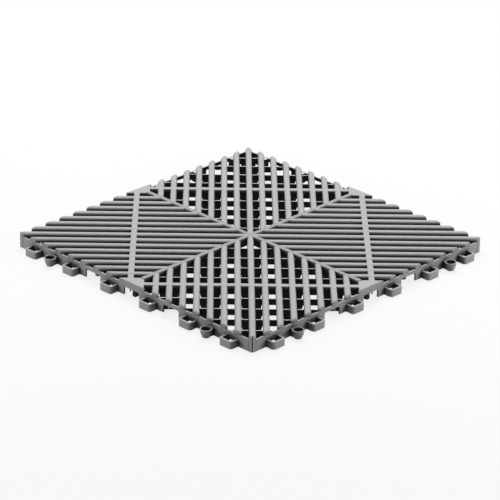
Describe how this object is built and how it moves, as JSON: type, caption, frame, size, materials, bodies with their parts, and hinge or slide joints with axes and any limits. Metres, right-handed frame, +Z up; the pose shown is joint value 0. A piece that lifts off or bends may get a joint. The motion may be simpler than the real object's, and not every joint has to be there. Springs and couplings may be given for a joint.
{
  "type": "drainage floor tile",
  "caption": "Square moulded plastic floor tile: diagonal rounded ribs over thin webs let water drain, with loops and pegs along the edges that clip it to its neighbours.",
  "frame": {"origin": "middle of the 400 mm square at the underside, on the floor", "axes": "+Z up; the loop edges face -Y and +X, the peg edges face +Y and -X"},
  "size_m": [0.4161, 0.4161, 0.0204],
  "materials": {
    "moulded_plastic": "satin moulded grey polypropylene"
  },
  "bodies": {
    "root": {"floor_tile": "moulded_plastic"}
  },
  "joints": []
}
